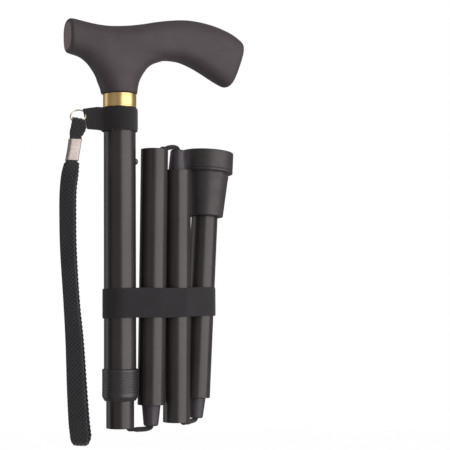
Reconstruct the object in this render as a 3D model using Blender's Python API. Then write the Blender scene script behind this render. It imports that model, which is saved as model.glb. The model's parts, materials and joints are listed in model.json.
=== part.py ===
"""Folding, height-adjustable walking cane with a derby handle, folded flat with its band round it.

World frame: +Z up along the upper shaft, +X towards the handle's long arm and the folded sections,
-Y to the viewer's side. Metres. Every moving piece hangs from an empty that lies on its joint.
"""
import bpy
import bmesh
import math
from mathutils import Matrix, Vector

MM = 0.001
ROUND = 32

# where the upper shaft's axis stands, and the height its own measures are taken from
SHAFT_X = -23.869
SHAFT_Y = -10.878
SHAFT_Z = 8.654

# upper shaft heights
OUTER_R = 11.0
OUTER_BORE = 9.8
OUTER_LOW = 26.0
OUTER_TOP = 219.9
TUBE_R = 9.5
TUBE_BORE = 8.3
INNER_LOW = 1.4
INNER_TOP = 196.0
BUTTON_Z = 183.6
BUTTON_R = 2.2
HOLE_R = 2.6
HOLE_COUNT = 7
HOLE_PITCH = 20.0
RING_LOW = 19.4
RING_TOP = 40.8
RING_R = 12.3
COLLAR_LOW = 220.2
HANDLE_Z = 230.0

# folding joints: each pivot lies between two tube ends
PIVOT_GAP = (2.9, 4.5, 1.5)
TIP_OUT = 3.4
END_OUT = 17.8
CORD_R = 1.3
CORD_HOLE = 2.0
SPACING = (22.3, 19.6, 19.6)
TURN = (0.0, 12.0, -12.0)
FAN = (1.0, 0.5, 3.5)
LENGTH = (176.7, 176.4, 162.0)
SOCKET_DEEP = 15.0
SOCKET_LONG = 18.0

# rubber tip, heights above the last pivot
TIP_LOW = 147.5
TIP_BASE = 179.3
TIP_TOP = 194.5
TIP_R = 19.0

# wrist strap
STRAP_TURN = 188.0
HOLDER_LOW = 204.0
HOLDER_TOP = 219.6
HOLDER_R = 12.6
TAB_END = 27.9
TAB_HALF = 0.9
TAB_DROP = 2.0
EYE_OUT = 25.6
EYE_Z = 215.5
SPLIT_R = 5.2
SPLIT_WIRE = 0.5
SPLIT_TILT = 45.0
STRAP_THICK = 2.4

# folding band
BAND_LOW = 76.0
BAND_TOP = 96.3
BAND_THICK = 1.3


def clear():
    for ob in list(bpy.data.objects):
        bpy.data.objects.remove(ob, do_unlink=True)


def material(name, colour, rough, metal=0.0):
    mat = bpy.data.materials.new(name)
    mat.use_nodes = True
    node = mat.node_tree.nodes["Principled BSDF"]
    node.inputs["Base Color"].default_value = (*colour, 1.0)
    node.inputs["Roughness"].default_value = rough
    node.inputs["Metallic"].default_value = metal
    return mat


def empty(name, parent, matrix):
    ob = bpy.data.objects.new(name, None)
    bpy.context.collection.objects.link(ob)
    ob.parent = parent
    ob.matrix_local = matrix
    return ob


def mesh_object(name, bm, parent, mat, smooth=True):
    bmesh.ops.recalc_face_normals(bm, faces=bm.faces[:])
    me = bpy.data.meshes.new(name)
    for face in bm.faces:
        face.smooth = smooth
    bm.to_mesh(me)
    bm.free()
    ob = bpy.data.objects.new(name, me)
    bpy.context.collection.objects.link(ob)
    ob.parent = parent
    me.materials.append(mat)
    return ob


def shift(x=0.0, y=0.0, z=0.0):
    return Matrix.Translation(Vector((x, y, z)) * MM)


def turn(axis, degrees):
    return Matrix.Rotation(math.radians(degrees), 4, axis)


def lathe(name, profile, parent, mat, steps=ROUND):
    """A closed (radius, height) outline turned about local Z; points on the axis become poles."""
    bm = bmesh.new()
    rings = []
    for r, z in profile:
        if r == 0:
            rings.append([bm.verts.new(Vector((0, 0, z)) * MM)] * steps)
            continue
        ring = []
        for i in range(steps):
            a = 2 * math.pi * i / steps
            ring.append(bm.verts.new(Vector((r * math.cos(a), r * math.sin(a), z)) * MM))
        rings.append(ring)
    for k in range(len(rings)):
        low = rings[k]
        high = rings[(k + 1) % len(rings)]
        for i in range(steps):
            j = (i + 1) % steps
            corners = []
            for v in (low[i], low[j], high[j], high[i]):
                if v not in corners:
                    corners.append(v)
            if len(corners) > 2:
                bm.faces.new(corners)
    return mesh_object(name, bm, parent, mat)


def loft(name, rings, parent, mat, closed=False):
    """Skin rings of points; the two ends are capped unless the path closes on itself."""
    bm = bmesh.new()
    rows = [[bm.verts.new(Vector(p) * MM) for p in ring] for ring in rings]
    count = len(rows[0])
    last = len(rows) if closed else len(rows) - 1
    for k in range(last):
        low = rows[k]
        high = rows[(k + 1) % len(rows)]
        for i in range(count):
            j = (i + 1) % count
            bm.faces.new((low[i], low[j], high[j], high[i]))
    if not closed:
        bm.faces.new(rows[0])
        bm.faces.new(rows[-1])
    return mesh_object(name, bm, parent, mat)


def cutter(name, bm, parent):
    me = bpy.data.meshes.new(name)
    bmesh.ops.recalc_face_normals(bm, faces=bm.faces[:])
    bm.to_mesh(me)
    bm.free()
    ob = bpy.data.objects.new(name, me)
    bpy.context.collection.objects.link(ob)
    ob.parent = parent
    ob.hide_render = True
    ob.display_type = "WIRE"
    return ob


def rod_cutter(name, parent, spots, radius, long, axis, steps=16):
    """One cutter of equal rods centred on the given spots."""
    bm = bmesh.new()
    for spot in spots:
        place = shift(*spot) @ Vector((0, 0, 1)).rotation_difference(Vector(axis)).to_matrix().to_4x4()
        bmesh.ops.create_cone(bm, cap_ends=True, segments=steps, radius1=radius * MM,
                              radius2=radius * MM, depth=long * MM, matrix=place)
    return cutter(name, bm, parent)


def boolean(ob, other, how):
    mod = ob.modifiers.new("bool", "BOOLEAN")
    mod.solver = "EXACT"
    mod.operation = how
    mod.object = other


def pipe(name, path, radius, parent, mat, steps=12, closed=False):
    """A round cord along points that lie in the local XZ plane."""
    rings = []
    count = len(path)
    for k in range(count):
        before = Vector(path[k - 1] if closed or k > 0 else path[k])
        after = Vector(path[(k + 1) % count] if closed or k < count - 1 else path[k])
        along = (after - before).normalized()
        side = Vector((0, 1, 0))
        up = along.cross(side)
        ring = []
        for i in range(steps):
            a = 2 * math.pi * i / steps
            ring.append(Vector(path[k]) + radius * (math.cos(a) * side + math.sin(a) * up))
        rings.append(ring)
    return loft(name, rings, parent, mat, closed)


# ---------------------------------------------------------------- handle
GRIP_STATIONS = (
    # centre x, centre height, half height, half width, lean of the section in degrees
    (-36.9, 37.3, 11.5, 9.6, 0),
    (-36.3, 37.3, 12.0, 10.5, 0),
    (-33.0, 37.1, 12.0, 10.9, 0),
    (-27.0, 36.0, 12.0, 11.2, 0),
    (-18.0, 34.7, 12.1, 11.4, 0),
    (-8.0, 34.1, 12.4, 11.7, 0),
    (4.0, 35.2, 12.5, 12.0, 0),
    (15.0, 36.9, 12.8, 12.1, 0),
    (26.0, 38.9, 13.4, 12.1, 0),
    (36.0, 40.2, 14.0, 12.1, 0),
    (45.8, 40.6, 14.8, 12.0, 5),
    (55.2, 39.2, 15.9, 12.0, 10),
    (65.5, 36.0, 17.2, 11.9, 15),
    (76.0, 31.6, 18.2, 11.6, 19),
    (83.0, 28.0, 17.9, 10.9, 20),
    (86.2, 26.3, 16.6, 9.4, 20),
    (87.6, 25.6, 14.4, 7.4, 20),
)
NECK_STATIONS = (
    # height, left reach, right reach, half width
    (0.0, -12.6, 12.0, 12.2),
    (4.0, -14.6, 12.5, 12.1),
    (8.0, -16.8, 13.4, 12.0),
    (12.0, -18.9, 15.2, 11.7),
    (16.0, -21.9, 17.8, 11.3),
    (20.0, -26.3, 21.0, 10.7),
    (23.0, -31.6, 25.3, 10.0),
    (26.0, -34.5, 33.0, 9.2),
    (30.0, -34.5, 36.0, 8.0),
    (35.0, -33.0, 38.0, 6.0),
)


def rounded(a, power=2.5):
    c = math.cos(a)
    s = math.sin(a)
    return (math.copysign(abs(c) ** (2 / power), c), math.copysign(abs(s) ** (2 / power), s))


def make_handle(parent, mat):
    rings = []
    for x, z, high, wide, lean in GRIP_STATIONS:
        tip = math.radians(lean)
        ring = []
        for i in range(24):
            c, s = rounded(2 * math.pi * i / 24)
            ring.append((x + s * high * math.sin(tip), c * wide, z + s * high * math.cos(tip)))
        rings.append(ring)
    grip = loft("handle_grip", rings, parent, mat)
    grip.matrix_local = shift(z=HANDLE_Z)
    rings = []
    for z, left, right, wide in NECK_STATIONS:
        ring = []
        for i in range(24):
            c, s = rounded(2 * math.pi * i / 24, 2.0)
            ring.append(Vector(((left + right) / 2 + c * (right - left) / 2, s * wide, z)) * MM)
        rings.append(ring)
    bm = bmesh.new()
    rows = [[bm.verts.new(p) for p in ring] for ring in rings]
    for low, high in zip(rows, rows[1:]):
        for i in range(24):
            j = (i + 1) % 24
            bm.faces.new((low[i], low[j], high[j], high[i]))
    bm.faces.new(rows[0])
    bm.faces.new(rows[-1])
    neck = cutter("handle_neck", bm, parent)
    neck.matrix_local = shift(z=HANDLE_Z)
    boolean(grip, neck, "UNION")
    bore = rod_cutter("handle_bore", parent, [(0, 0, HANDLE_Z + 8.0)], 7.3, 32.0, (0, 0, 1), 24)
    boolean(grip, bore, "DIFFERENCE")


def make_stem(parent, mat):
    profile = [(0, 205.2), (9.4, 205.2), (9.4, 229.6), (7.0, 229.9), (7.0, 252.8), (0, 253.6)]
    lathe("handle_stem", profile, parent, mat)


def make_collar(parent, mat):
    low = COLLAR_LOW
    profile = [(9.8, low), (11.3, low), (11.5, low + 0.3), (11.5, low + 9.2), (11.3, low + 9.5)]
    profile += [(9.8, low + 9.5)]
    lathe("brass_collar", profile, parent, mat)


# ---------------------------------------------------------------- upper shaft
def make_outer_tube(parent, mat):
    profile = [(OUTER_BORE, OUTER_LOW), (OUTER_R, OUTER_LOW), (OUTER_R, OUTER_TOP), (OUTER_BORE, OUTER_TOP)]
    tube = lathe("outer_tube", profile, parent, mat)
    spots = [(OUTER_R, 0, BUTTON_Z - HOLE_PITCH * i) for i in range(HOLE_COUNT)]
    boolean(tube, rod_cutter("button_holes", parent, spots, HOLE_R, 6.0, (1, 0, 0)), "DIFFERENCE")


def make_collet(parent, mat):
    profile = [(9.8, 20.4), (10.4, 20.4), (11.0, 21.2), (11.0, 25.7), (9.8, 25.7)]
    lathe("lock_collet", profile, parent, mat)


def make_lock_ring(parent, mat):
    """Screw sleeve: a plain foot drawn in at its end, then fine ribs up to the rim."""
    foot = RING_LOW + 5.4
    profile = [(9.9, RING_LOW), (11.2, RING_LOW), (RING_R - 0.2, RING_LOW + 2.2), (RING_R, RING_LOW + 3.2)]
    profile += [(RING_R, foot)]
    count = 11
    step = (RING_TOP - 1.4 - foot) / count
    for i in range(count):
        z = foot + i * step
        profile += [(RING_R - 0.4, z + 0.2), (RING_R - 0.4, z + 0.6), (RING_R, z + 0.8), (RING_R, z + step)]
    profile += [(RING_R, RING_TOP - 0.5), (RING_R - 0.5, RING_TOP), (11.3, RING_TOP), (11.3, RING_LOW + 0.9)]
    profile += [(9.9, RING_LOW + 0.7)]
    lathe("lock_ring", profile, parent, mat)


def make_inner_tube(parent, mat, plastic):
    profile = [(TUBE_BORE, INNER_LOW), (TUBE_R, INNER_LOW), (TUBE_R, INNER_TOP), (TUBE_BORE, INNER_TOP)]
    tube = lathe("inner_tube", profile, parent, mat)
    hole = rod_cutter("snap_hole", parent, [(TUBE_R, 0, BUTTON_Z)], HOLE_R, 6.0, (1, 0, 0))
    boolean(tube, hole, "DIFFERENCE")
    low = INNER_TOP + 0.3
    profile = [(6.0, low), (9.6, low), (9.6, low + 4.4), (8.8, low + 5.0), (6.0, low + 5.0)]
    lathe("glide_bush", profile, parent, plastic)


def make_button(parent, mat):
    profile = [(0, -4.4), (3.1, -4.4), (3.1, -3.4), (BUTTON_R, -3.4), (BUTTON_R, 1.2), (1.7, 1.9)]
    profile += [(0.9, 2.25), (0, 2.35)]
    button = lathe("snap_button", profile, parent, mat, 20)
    button.rotation_mode = "XYZ"
    button.rotation_euler = (0, math.radians(90), 0)


def make_button_spring(parent, mat):
    """A leaf bent over at its top, between the far wall and the button's back."""
    path = [(-7.7, -14.0), (-7.7, 2.0), (-7.2, 7.0), (-4.5, 10.5), (-0.5, 11.2), (3.3, 9.5)]
    path += [(5.6, 5.0), (5.9, 0.0), (5.9, -2.6)]
    rings = []
    for k, (x, z) in enumerate(path):
        x0, z0 = path[max(k - 1, 0)]
        x1, z1 = path[min(k + 1, len(path) - 1)]
        along = Vector((x1 - x0, 0, z1 - z0)).normalized()
        side = Vector((along.z, 0, -along.x)) * 0.2
        wide = 1.9
        at = Vector((x, 0, z + BUTTON_Z))
        across = Vector((0, wide, 0))
        rings.append([at - side - across, at + side - across, at + side + across, at - side + across])
    loft("button_spring", rings, parent, mat)


# ---------------------------------------------------------------- folding sections
def make_socket(name, end, parent, mat):
    """Liner in a tube's open end; the end plane is at the given height, looking up."""
    profile = [
        (6.9, end - 0.3), (7.9, end - 0.3), (7.9, end - SOCKET_LONG), (CORD_HOLE, end - SOCKET_LONG),
        (CORD_HOLE, end - SOCKET_DEEP), (5.4, end - SOCKET_DEEP),
    ]
    return lathe(name, profile, parent, mat)


def make_insert(name, parent, mat):
    profile = [
        (CORD_HOLE, TIP_OUT), (4.7, TIP_OUT), (5.1, TIP_OUT + 0.6), (6.5, END_OUT - 0.2),
        (7.9, END_OUT + 0.3), (7.9, END_OUT + 14.0), (CORD_HOLE, END_OUT + 14.0),
    ]
    return lathe(name, profile, parent, mat)


def make_cord(name, low, high, parent, mat):
    r = CORD_R
    return lathe(name, [(0, low), (r, low), (r, high), (0, high)], parent, mat, 12)


def make_disc(name, low, high, radius, parent, mat):
    return lathe(name, [(0, low), (radius, low), (radius, high), (0, high)], parent, mat, 24)


def make_bend(name, gap, rim, fan, parent, mat):
    """Cord from the parent's socket over its rim to the next insert, in the pivot's own XZ plane."""
    half = gap / 2
    lean = math.radians(fan)
    path = []
    inside = ((0.0, SOCKET_DEEP - 0.7), (2.2, 10.5), (4.0, 6.5), (4.8, 3.0), (5.2, 0.2))
    outside = ((6.3, -1.35), (8.6, -1.6))
    for off, deep in inside + outside:
        x = off - half
        z = rim + deep
        path.append((x * math.cos(lean) - z * math.sin(lean), 0, x * math.sin(lean) + z * math.cos(lean)))
    level = min(rim - 1.6, 1.7)
    path += [(half - 5.2, 0, level), (half - 2.6, 0, level), (half - 0.9, 0, 2.1)]
    path += [(half, 0, 3.0), (half, 0, TIP_OUT + 0.3)]
    return pipe(name, path, CORD_R, parent, mat)


def make_section(number, letter, long, axis, mats, tip=False):
    """Tube, insert and cord in the frame whose Z runs along the tube away from its pivot."""
    profile = [(TUBE_BORE, END_OUT), (TUBE_R, END_OUT), (TUBE_R, END_OUT + long), (TUBE_BORE, END_OUT + long)]
    lathe("tube_%d" % number, profile, axis, mats["tube"])
    make_insert("insert_" + letter, axis, mats["plastic"])
    far = END_OUT + long
    stop = far - 16.0 if tip else far - SOCKET_DEEP - 0.6
    make_cord("cord_%d" % number, TIP_OUT + 0.6, stop, axis, mats["cord"])


def make_tip(parent, mats):
    far = END_OUT + LENGTH[2]
    make_disc("cord_anchor_tip", far - 15.7, far - 12.0, 7.9, parent, mats["plastic"])
    make_disc("tip_washer", far + 0.3, far + 1.8, 9.3, parent, mats["steel"])
    low = TIP_LOW
    base = TIP_BASE
    top = TIP_TOP
    profile = [
        (9.8, low), (12.9, low), (13.3, low + 0.5), (15.7, base - 5.2), (16.0, base - 4.2),
        (16.0, base - 0.2), (18.5, base - 0.2), (TIP_R, base + 0.3), (TIP_R, base + 1.6),
        (18.7, base + 1.8), (18.7, base + 2.1),
        (TIP_R, base + 2.3), (TIP_R, top - 0.8), (18.7, top - 0.2), (18.2, top),
        (15.0, top), (14.6, top - 1.0), (12.8, top - 1.0), (12.4, top),
        (10.4, top), (10.0, top - 1.0), (8.2, top - 1.0), (7.8, top), (0, top),
        (0, far + 2.1), (9.8, far + 2.1),
    ]
    lathe("rubber_tip", profile, parent, mats["rubber"])


# ---------------------------------------------------------------- strap
def make_holder(parent, mat):
    """Webbing loop round the shaft with its ends sewn into a flat tab along local +X."""
    count = 40
    start = math.asin(TAB_HALF / HOLDER_R)
    outer = [(TAB_END, TAB_HALF), (24.0, TAB_HALF), (18.0, TAB_HALF)]
    steps = count - 2 * len(outer) - 1
    for i in range(steps + 1):
        a = start + 0.25 + (2 * math.pi - 2 * start - 0.5) * i / steps
        outer.append((HOLDER_R * math.cos(a), HOLDER_R * math.sin(a)))
    outer += [(18.0, -TAB_HALF), (24.0, -TAB_HALF), (TAB_END, -TAB_HALF)]
    inner = []
    for k in range(len(outer)):
        a = 2 * math.pi * (k + 0.5) / len(outer)
        inner.append((11.3 * math.cos(a), 11.3 * math.sin(a)))
    bm = bmesh.new()
    rows = []
    for top in (False, True):
        for loop in (outer, inner):
            row = []
            for x, y in loop:
                fall = TAB_DROP * max(0.0, x - 18.0) / (TAB_END - 18.0)
                row.append(bm.verts.new(Vector((x, y, HOLDER_TOP - fall if top else HOLDER_LOW)) * MM))
            rows.append(row)
    size = len(outer)
    for i in range(size):
        j = (i + 1) % size
        bm.faces.new((rows[0][i], rows[0][j], rows[2][j], rows[2][i]))
        bm.faces.new((rows[1][i], rows[1][j], rows[3][j], rows[3][i]))
        bm.faces.new((rows[0][i], rows[0][j], rows[1][j], rows[1][i]))
        bm.faces.new((rows[2][i], rows[2][j], rows[3][j], rows[3][i]))
    holder = mesh_object("strap_holder", bm, parent, mat, False)
    boolean(holder, rod_cutter("strap_eye", parent, [(EYE_OUT, 0, EYE_Z)], 1.5, 6.0, (0, 1, 0)), "DIFFERENCE")


def make_split_ring(parent, mat):
    """Round wire ring in the plane through local Y that leans down and out from the tab's eye."""
    tilt = math.radians(SPLIT_TILT)
    out = Vector((math.cos(tilt), 0, -math.sin(tilt)))
    rings = []
    for i in range(28):
        a = 2 * math.pi * i / 28
        spoke = -math.cos(a) * out + math.sin(a) * Vector((0, 1, 0))
        flat = out.cross(Vector((0, 1, 0)))
        ring = []
        for k in range(8):
            b = 2 * math.pi * k / 8
            ring.append(SPLIT_R * (out + spoke) + SPLIT_WIRE * (math.cos(b) * spoke + math.sin(b) * flat))
        rings.append(ring)
    loft("split_ring", rings, parent, mat, True)


STRAP_LINE = (
    # drop below the strap's pivot, outward reach from the pivot, half gap between layers, width, twist
    (0.2, 0.0, 3.2, 6.6, 0),
    (2.4, 0.1, 3.1, 7.4, -2),
    (6.5, 0.3, 2.1, 8.2, -6),
    (11.6, 0.6, 1.25, 7.4, -12),
    (19.8, 2.1, 1.25, 7.4, -20),
    (27.6, 3.5, 1.25, 7.4, -26),
    (31.0, 4.2, 1.3, 9.6, -28),
    (36.0, 5.0, 1.4, 10.8, -31),
    (46.0, 6.2, 1.5, 11.2, -35),
    (60.0, 6.5, 1.6, 11.4, -39),
    (86.0, 5.8, 1.7, 11.5, -43),
    (120.0, 3.6, 1.9, 11.6, -45),
    (147.0, 1.4, 2.2, 11.8, -46),
    (177.0, -0.1, 2.6, 12.2, -46),
    (200.0, -1.7, 3.1, 12.5, -46),
    (209.6, -2.9, 3.4, 12.5, -46),
)


def strap_at(drop):
    """The strap line's reach and twist at a drop between two of its stations."""
    for low, high in zip(STRAP_LINE, STRAP_LINE[1:]):
        if drop <= high[0]:
            t = (drop - low[0]) / (high[0] - low[0])
            return low[1] + t * (high[1] - low[1]), low[4] + t * (high[4] - low[4])


def strap_ring(at, width_dir, thick_dir, wide, thick):
    w = width_dir * wide / 2
    t = thick_dir * thick / 2
    return [at - w - t * 0.6, at - w * 0.92 - t, at + w * 0.92 - t, at + w - t * 0.6,
            at + w + t * 0.6, at + w * 0.92 + t, at - w * 0.92 + t, at - w + t * 0.6]


def make_strap(parent, mat, metal):
    """Flat braided loop: down one layer, round the bottom, and up the other layer."""
    def station(drop, reach, offset, twist):
        a = math.radians(twist)
        wide_dir = Vector((math.sin(a), math.cos(a), 0))
        normal = Vector((math.cos(a), -math.sin(a), 0))
        return Vector((reach, 0, -drop)) + normal * offset, wide_dir, normal

    rings = []
    for drop, reach, gap, wide, twist in STRAP_LINE:
        at, wide_dir, normal = station(drop, reach, gap, twist)
        rings.append(strap_ring(at, wide_dir, normal, wide, STRAP_THICK))
    drop, reach, gap, wide, twist = STRAP_LINE[-1]
    for i in range(1, 8):
        a = math.pi * i / 8
        at, wide_dir, normal = station(drop + 6.0 * math.sin(a), reach, gap * math.cos(a), twist)
        facing = normal * math.cos(a) + Vector((0, 0, -1)) * math.sin(a)
        rings.append(strap_ring(at, wide_dir, facing, wide, STRAP_THICK))
    for drop, reach, gap, wide, twist in reversed(STRAP_LINE):
        at, wide_dir, normal = station(drop, reach, -gap, twist)
        rings.append(strap_ring(at, wide_dir, -normal, wide, STRAP_THICK))
    drop, reach, gap, wide, twist = STRAP_LINE[0]
    for i in range(1, 6):
        a = math.pi * i / 6
        at, wide_dir, normal = station(drop - gap * math.sin(a), reach, -gap * math.cos(a), twist)
        facing = -normal * math.cos(a) + Vector((0, 0, 1)) * math.sin(a)
        rings.append(strap_ring(at, wide_dir, facing, wide, STRAP_THICK))
    loft("wrist_strap", rings, parent, mat, True)
    make_crimp(station, parent, metal)


def make_crimp(station, parent, mat):
    """Pressed metal sleeve round both layers."""
    outer_rings = []
    inner_rings = []
    for drop in (12.6, 19.8, 27.0):
        reach, twist = strap_at(drop)
        at, wide_dir, normal = station(drop, reach, 0.0, twist)
        for rings, half_w, half_t in ((outer_rings, 4.8, 3.5), (inner_rings, 4.0, 2.8)):
            ring = []
            for i in range(20):
                c, s = rounded(2 * math.pi * i / 20, 8.0)
                ring.append((at + wide_dir * c * half_w + normal * s * half_t) * MM)
            rings.append(ring)
    bm = bmesh.new()
    path = outer_rings + inner_rings[::-1]
    rows = [[bm.verts.new(p) for p in ring] for ring in path]
    for k in range(len(rows)):
        low = rows[k]
        high = rows[(k + 1) % len(rows)]
        for i in range(20):
            j = (i + 1) % 20
            bm.faces.new((low[i], low[j], high[j], high[i]))
    mesh_object("strap_crimp", bm, parent, mat)


# ---------------------------------------------------------------- band
def make_band(parent, mat, circles):
    """Elastic loop drawn round all four tubes; outline from the tubes' positions at its height."""
    count = 72
    loops = []
    for grow in (0.0, BAND_THICK):
        loop = []
        for i in range(count):
            a = 2 * math.pi * (i + 0.5) / count
            n = Vector((math.cos(a), math.sin(a)))
            centre, r = max(circles, key=lambda c: c[0].dot(n) + c[1])
            loop.append(centre + n * (r + grow))
        loops.append(loop)
    bm = bmesh.new()
    rows = []
    for z, grow in ((BAND_LOW, 0), (BAND_LOW, 1), (BAND_TOP, 1), (BAND_TOP, 0)):
        rows.append([bm.verts.new(Vector((p.x, p.y, z)) * MM) for p in loops[grow]])
    for k in range(4):
        low = rows[k]
        high = rows[(k + 1) % 4]
        for i in range(count):
            j = (i + 1) % count
            bm.faces.new((low[i], low[j], high[j], high[i]))
    mesh_object("folding_band", bm, parent, mat)


def where(root, axis, height):
    """A tube axis's position in the root's frame, in millimetres, at a height."""
    m = root.inverted() @ axis
    p = m.to_translation() / MM
    d = m.to_3x3() @ Vector((0, 0, 1))
    p += d * (height - p.z) / d.z
    return Vector((p.x, p.y))


def main():
    clear()
    mats = {
        "grip": material("grip_black", (0.035, 0.030, 0.032), 0.55),
        "brass": material("polished_brass", (0.80, 0.60, 0.28), 0.2, 1.0),
        "tube": material("coated_tube", (0.030, 0.026, 0.027), 0.35, 0.3),
        "plastic": material("joint_plastic", (0.045, 0.038, 0.048), 0.5),
        "steel": material("spring_steel", (0.55, 0.55, 0.56), 0.3, 1.0),
        "webbing": material("webbing", (0.012, 0.011, 0.012), 0.9),
        "wire": material("ring_wire", (0.82, 0.76, 0.60), 0.25, 1.0),
        "strap": material("braided_strap", (0.015, 0.014, 0.016), 0.9),
        "crimp": material("crimp_metal", (0.52, 0.45, 0.40), 0.35, 1.0),
        "cord": material("elastic_cord", (0.02, 0.02, 0.02), 0.8),
        "rubber": material("tip_rubber", (0.030, 0.028, 0.029), 0.75),
        "band": material("elastic_band", (0.032, 0.030, 0.034), 0.85),
    }
    root = shift(SHAFT_X, SHAFT_Y, SHAFT_Z)
    upper = empty("at_shaft", None, root)
    make_handle(upper, mats["grip"])
    make_stem(upper, mats["steel"])
    make_collar(upper, mats["brass"])
    make_outer_tube(upper, mats["tube"])
    make_collet(upper, mats["plastic"])
    make_lock_ring(upper, mats["plastic"])
    make_inner_tube(upper, mats["tube"], mats["plastic"])
    button = empty("at_button", upper, shift(OUTER_R - 0.2, 0, BUTTON_Z))
    make_button(button, mats["steel"])
    make_button_spring(upper, mats["steel"])
    make_disc("cord_anchor_top", 150.0, 153.7, 7.9, upper, mats["plastic"])
    make_cord("cord_upper", INNER_LOW + SOCKET_DEEP + 0.6, 149.7, upper, mats["cord"])

    # the inner tube's open end looks down, so its own frame is turned over
    end_a = empty("end_a", upper, shift(z=INNER_LOW) @ turn("X", 180))
    make_socket("socket_a", 0.0, end_a, mats["plastic"])
    chain = root @ shift(z=INNER_LOW) @ turn("X", 180)
    far = 0.0
    gap_before = 0.0
    parent = end_a
    axes = []
    for k, letter in enumerate("abc"):
        step = turn("Z", TURN[k]) @ shift(x=SPACING[k] / 2)
        pivot = shift(x=gap_before, z=far + PIVOT_GAP[k]) @ step @ turn("X", 180) @ turn("Y", FAN[k])
        at = empty("pivot_" + letter, parent, pivot)
        make_bend("cord_bend_" + letter, SPACING[k], PIVOT_GAP[k], FAN[k], at, mats["cord"])
        axis = empty("axis_%d" % (k + 2), at, shift(x=SPACING[k] / 2))
        make_section(k + 2, letter, LENGTH[k], axis, mats, tip=k == 2)
        if k < 2:
            make_socket("socket_" + "bc"[k], END_OUT + LENGTH[k], axis, mats["plastic"])
        chain = chain @ pivot
        axes.append(chain @ shift(x=SPACING[k] / 2))
        parent = at
        gap_before = SPACING[k] / 2
        far = END_OUT + LENGTH[k]
    make_tip(axis, mats)

    swivel = empty("at_swivel", upper, turn("Z", STRAP_TURN))
    make_holder(swivel, mats["webbing"])
    eye = empty("at_eye", swivel, shift(EYE_OUT, 0, EYE_Z))
    make_split_ring(eye, mats["wire"])
    tilt = math.radians(SPLIT_TILT)
    reach = 2 * SPLIT_R
    hang = empty("at_strap", eye, shift(reach * math.cos(tilt), 0, -reach * math.sin(tilt)))
    make_strap(hang, mats["strap"], mats["crimp"])

    circles = [(Vector((0, 0)), RING_R + 0.5)]
    for axis in axes:
        for z in (BAND_LOW, BAND_TOP):
            circles.append((where(root, axis, z), TUBE_R + 0.5))
    make_band(upper, mats["band"], circles)


main()
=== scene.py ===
"""Looks of the folding walking cane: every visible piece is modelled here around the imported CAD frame.

Lengths are in millimetres unless a comment says otherwise. Pieces of the shaft are given by their height
in the shaft's frame, and pieces of a folding section by their distance from its pivot along its tube.
"""
import json
import math

import bmesh
import bpy
import numpy as np
from mathutils import Matrix, Quaternion, Vector


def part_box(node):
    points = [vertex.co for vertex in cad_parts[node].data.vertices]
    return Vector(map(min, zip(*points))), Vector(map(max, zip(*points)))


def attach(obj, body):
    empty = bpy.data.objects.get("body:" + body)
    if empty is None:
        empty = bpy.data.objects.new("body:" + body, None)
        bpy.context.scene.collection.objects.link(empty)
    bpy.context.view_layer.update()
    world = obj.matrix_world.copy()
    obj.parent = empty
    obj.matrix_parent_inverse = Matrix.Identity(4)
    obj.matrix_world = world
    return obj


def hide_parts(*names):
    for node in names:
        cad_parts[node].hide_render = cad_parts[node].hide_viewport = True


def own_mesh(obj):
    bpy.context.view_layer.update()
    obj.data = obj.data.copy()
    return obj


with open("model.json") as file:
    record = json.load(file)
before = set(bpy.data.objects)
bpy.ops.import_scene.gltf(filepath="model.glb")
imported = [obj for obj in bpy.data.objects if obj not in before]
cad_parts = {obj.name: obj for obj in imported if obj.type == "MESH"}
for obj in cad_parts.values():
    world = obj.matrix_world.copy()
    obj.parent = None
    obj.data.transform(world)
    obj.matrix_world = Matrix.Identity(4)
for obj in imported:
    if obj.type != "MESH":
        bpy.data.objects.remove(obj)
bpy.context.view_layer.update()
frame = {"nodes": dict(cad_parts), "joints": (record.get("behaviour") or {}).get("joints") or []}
JOINTS = {j["name"]: j for j in frame["joints"]}
MM = 0.001
STEPS = 96             # points round a turned piece
SHARP = 38.0           # degrees; a steeper edge is left unsmoothed
ON_AXIS = 1e-6         # a smaller radius is a point on the axis
TUBE_R = 9.5
TUBE_BORE = 8.3
OUTER_R = 11.0
OUTER_BORE = 9.8
PLUG_R = 7.9           # inserts and liners where they sit in a tube
CORD_BORE = 2.0
END_OUT = 17.8         # pivot to the end of the tube beyond it
TIP_OUT = 3.4          # pivot to the tip of that tube's insert
INNER_LOW = 1.4        # open end of the inner tube
HANDLE_Z = 230.0       # foot of the grip's neck
TOP_HOLE = 183.6       # the hole that the button is in
HOLE_STEP = 20.0
HOLE_R = 2.6
HOLDER_LOW = 204.0
HOLDER_HIGH = 219.6
BAND_LOW = 76.0
BAND_HIGH = 96.3
SPACING = {"a": 22.3, "b": 19.6, "c": 19.6}    # between the axes of the two tubes at a fold
RIM = {"a": 2.9, "b": 4.5, "c": 1.5}           # socket's rim over the pivot
FAN = {"a": 1.0, "b": 0.5, "c": 3.5}           # degrees between the two tubes
LONG = {"a": 176.7, "b": 176.4, "c": 162.0}    # tube beyond the fold
FLOOR_Z = -0.68        # metres, level with the opened cane's tip


# ------------------------------------------------------------------ frames
def shaft_frame():
    """On the shaft's axis, just under the inner tube's open end, Z up."""
    x, y, _ = JOINTS["lock_ring_turn"]["pos_m"]
    return Matrix.Translation((x, y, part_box("inner_tube")[0].z - INNER_LOW * MM))


def axes_frame(origin, x, y, z):
    m = Matrix((x, y, z)).transposed().to_4x4()
    m.translation = Vector(origin)
    return m


def pivot_frame(letter):
    """Origin on the fold's pivot, Y along its hinge, Z along the next tube away from the pivot."""
    y = Vector(JOINTS["fold_" + letter]["axis"]).normalized()
    z = -Vector(JOINTS["seat_" + letter]["axis"]).normalized()
    return axes_frame(JOINTS["fold_" + letter]["pos_m"], y.cross(z), y, z)


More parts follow.
